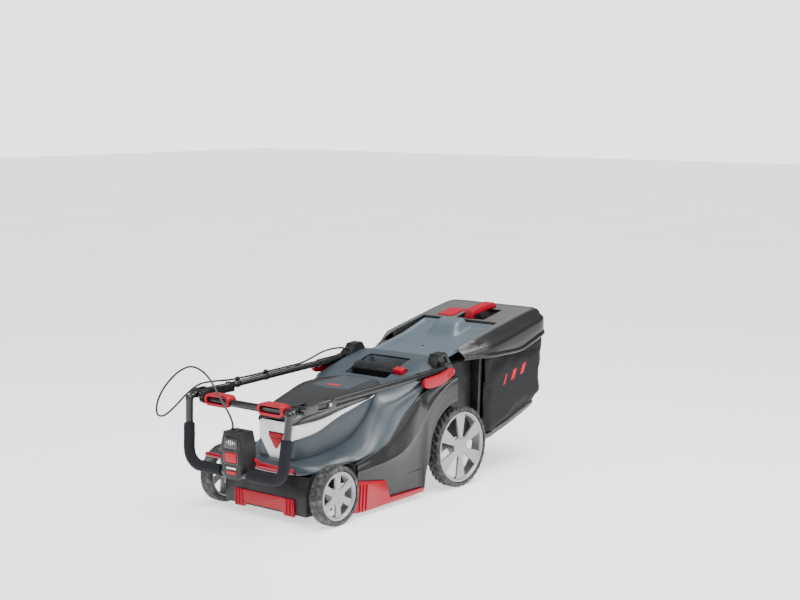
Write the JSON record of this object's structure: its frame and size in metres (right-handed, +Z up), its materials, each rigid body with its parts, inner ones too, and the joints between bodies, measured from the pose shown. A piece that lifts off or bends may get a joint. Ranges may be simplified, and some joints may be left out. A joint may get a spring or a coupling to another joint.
{
  "type": "push lawn mower",
  "caption": "Battery push lawn mower with rear grass box, folded two-part handle, height crank, hinged flap and lid, and turning wheels and blade.",
  "frame": {"origin": "on the ground, under the middle of the whole mower without its lead", "axes": "+X across, +Y from the front to the grass box, +Z up"},
  "size_m": [0.4788, 1.1778, 0.484],
  "materials": {
    "black_plastic": "moulded, fine texture",
    "slate_plastic": "moulded, satin",
    "light_slate": "moulded, satin",
    "white_gloss": "gloss",
    "red_plastic": "satin gloss",
    "battery_shell": "moulded",
    "circuit_board": "coated board",
    "steel": "brushed",
    "cast_metal": "cast",
    "lid_gloss": "glossy",
    "tyre": "treaded, dusty",
    "wheel_silver": "silver paint",
    "box_plastic": "satin",
    "bag_fabric": "coated woven cloth",
    "painted_tube": "powder coat",
    "gloss_black": "gloss",
    "foam": "closed-cell foam",
    "switch_plastic": "moulded",
    "cable": "smooth jacket"
  },
  "bodies": {
    "chassis": {"deck": "black_plastic", "hood": "slate_plastic", "motor_cover": "slate_plastic", "white_trim": "white_gloss", "front_comb": "red_plastic", "side_comb_left": "red_plastic", "side_comb_right": "red_plastic", "trim_strip": "red_plastic", "carry_handle": "black_plastic", "battery_tray": "black_plastic", "battery_pack": "battery_shell", "controller": "circuit_board", "motor_housing": "steel", "handle_brackets": "black_plastic", "housing_screws": "steel", "cable_gland": "black_plastic"},
    "lid": {"battery_lid": "lid_gloss"},
    "latch": {"lid_latch": "red_plastic"},
    "key": {"safety_key": "red_plastic"},
    "height_release": {"height_button": "red_plastic"},
    "front_crank": {"front_axle": "steel"},
    "rear_crank": {"rear_axle": "steel"},
    "link": {"height_link": "steel"},
    "wheel_front_left": {"front_tyre_left": "tyre", "front_disc_left": "wheel_silver"},
    "wheel_front_right": {"front_tyre_right": "tyre", "front_disc_right": "wheel_silver"},
    "wheel_rear_left": {"rear_tyre_left": "tyre", "rear_disc_left": "wheel_silver"},
    "wheel_rear_right": {"rear_tyre_right": "tyre", "rear_disc_right": "wheel_silver"},
    "cutter": {"motor_shaft": "steel", "cooling_fan": "black_plastic", "blade_carrier": "cast_metal", "blade": "steel", "blade_bolt": "steel"},
    "flap": {"rear_flap": "light_slate"},
    "grass_box": {"box_top": "box_plastic", "box_frame": "box_plastic", "box_bag": "bag_fabric", "box_base": "box_plastic", "box_handle": "red_plastic"},
    "level": {"level_flap": "red_plastic"},
    "lower_handle": {"lower_tube_left": "painted_tube", "lower_tube_right": "painted_tube", "cross_bar": "painted_tube", "handle_joints": "gloss_black", "cable_clips": "gloss_black", "cord_run": "cable"},
    "cam_left": {"lever_left": "red_plastic"},
    "cam_right": {"lever_right": "red_plastic"},
    "pull_left": {"ring_left": "red_plastic"},
    "pull_right": {"ring_right": "red_plastic"},
    "upper_handle": {"upper_bar": "painted_tube", "foam_grip": "foam", "switch_housing": "switch_plastic", "cord_loop": "cable"},
    "button": {"start_button": "red_plastic"},
    "bail": {"start_bail": "red_plastic"}
  },
  "joints": [
    {"name": "lid_hinge", "type": "hinge", "parent": "chassis", "child": "lid", "pos_m": [0, -0.0775, 0.314], "axis": [1, 0, 0], "range_deg": [-75, 0]},
    {"name": "latch_press", "type": "slide", "parent": "chassis", "child": "latch", "axis": [0, 1, 0], "range_m": [0, 0.003], "stiffness_N_per_m": 400},
    {"name": "key_pull", "type": "slide", "parent": "chassis", "child": "key", "axis": [0, 0, 1], "range_m": [0, 0.012]},
    {"name": "height_press", "type": "slide", "parent": "chassis", "child": "height_release", "axis": [0, 0, -1], "range_m": [0, 0.004], "stiffness_N_per_m": 400},
    {"name": "height_crank", "type": "hinge", "parent": "chassis", "child": "front_crank", "pos_m": [0, -0.4335, 0.069], "axis": [-1, 0, 0], "range_deg": [0, 55]},
    {"name": "rear_height_crank", "type": "hinge", "parent": "chassis", "child": "rear_crank", "pos_m": [0, 0.0975, 0.105], "axis": [-1, 0, 0], "range_deg": [0, 56]},
    {"name": "link_pin", "type": "hinge", "parent": "front_crank", "child": "link", "pos_m": [-0.16, -0.44895, 0.11655], "axis": [-1, 0, 0], "range_deg": [-56, 0]},
    {"name": "front_left_roll", "type": "hinge", "parent": "front_crank", "child": "wheel_front_left", "pos_m": [-0.2, -0.3995, 0.079], "axis": [1, 0, 0], "continuous": true},
    {"name": "front_right_roll", "type": "hinge", "parent": "front_crank", "child": "wheel_front_right", "pos_m": [0.2, -0.3995, 0.079], "axis": [1, 0, 0], "continuous": true},
    {"name": "rear_left_roll", "type": "hinge", "parent": "rear_crank", "child": "wheel_rear_left", "pos_m": [-0.19, 0.1315, 0.115], "axis": [1, 0, 0], "continuous": true},
    {"name": "rear_right_roll", "type": "hinge", "parent": "rear_crank", "child": "wheel_rear_right", "pos_m": [0.19, 0.1315, 0.115], "axis": [1, 0, 0], "continuous": true},
    {"name": "blade_spin", "type": "hinge", "parent": "chassis", "child": "cutter", "pos_m": [0, -0.2345, 0.1], "axis": [0, 0, 1], "continuous": true},
    {"name": "flap_hinge", "type": "hinge", "parent": "chassis", "child": "flap", "pos_m": [0, 0.1305, 0.341], "axis": [1, 0, 0], "range_deg": [0, 60], "stiffness_Nm_per_rad": 0.4, "springref_deg": -28.65},
    {"name": "box_lift_off", "type": "slide", "parent": "chassis", "child": "grass_box", "axis": [0, 0.9479, 0.3185], "range_m": [0, 0.25]},
    {"name": "level_hinge", "type": "hinge", "parent": "grass_box", "child": "level", "pos_m": [-0.064, 0.4035, 0.438], "axis": [1, 0, 0], "range_deg": [0, 20]},
    {"name": "handle_fold", "type": "hinge", "parent": "chassis", "child": "lower_handle", "pos_m": [0, 0.0875, 0.34], "axis": [1, 0, 0], "range_deg": [-135, 0], "deforming": ["cord_run"]},
    {"name": "cam_left_open", "type": "hinge", "parent": "lower_handle", "child": "cam_left", "pos_m": [-0.205, 0.0875, 0.338], "axis": [0, 0, -1], "range_deg": [0, 95]},
    {"name": "cam_right_open", "type": "hinge", "parent": "lower_handle", "child": "cam_right", "pos_m": [0.205, 0.0875, 0.338], "axis": [0, 0, 1], "range_deg": [0, 95]},
    {"name": "pull_left_slide", "type": "slide", "parent": "lower_handle", "child": "pull_left", "axis": [1, 0, 0], "range_m": [0, 0.01], "stiffness_N_per_m": 400},
    {"name": "pull_right_slide", "type": "slide", "parent": "lower_handle", "child": "pull_right", "axis": [-1, 0, 0], "range_m": [0, 0.01], "stiffness_N_per_m": 400},
    {"name": "upper_fold", "type": "hinge", "parent": "lower_handle", "child": "upper_handle", "pos_m": [0, -0.5095, 0.316], "axis": [1, 0, 0], "range_deg": [-100, 0], "deforming": ["cord_loop"]},
    {"name": "button_press", "type": "slide", "parent": "upper_handle", "child": "button", "axis": [0, 1, 0], "range_m": [0, 0.004], "stiffness_N_per_m": 400},
    {"name": "bail_squeeze", "type": "hinge", "parent": "upper_handle", "child": "bail", "pos_m": [0, -0.5265, 0.172], "axis": [1, 0, 0], "range_deg": [-30, 0], "stiffness_Nm_per_rad": 0.3}
  ],
  "couplings": [
    {"joint": "rear_height_crank", "follows": "height_crank", "ratio": 1},
    {"joint": "link_pin", "follows": "height_crank", "ratio": -1}
  ]
}
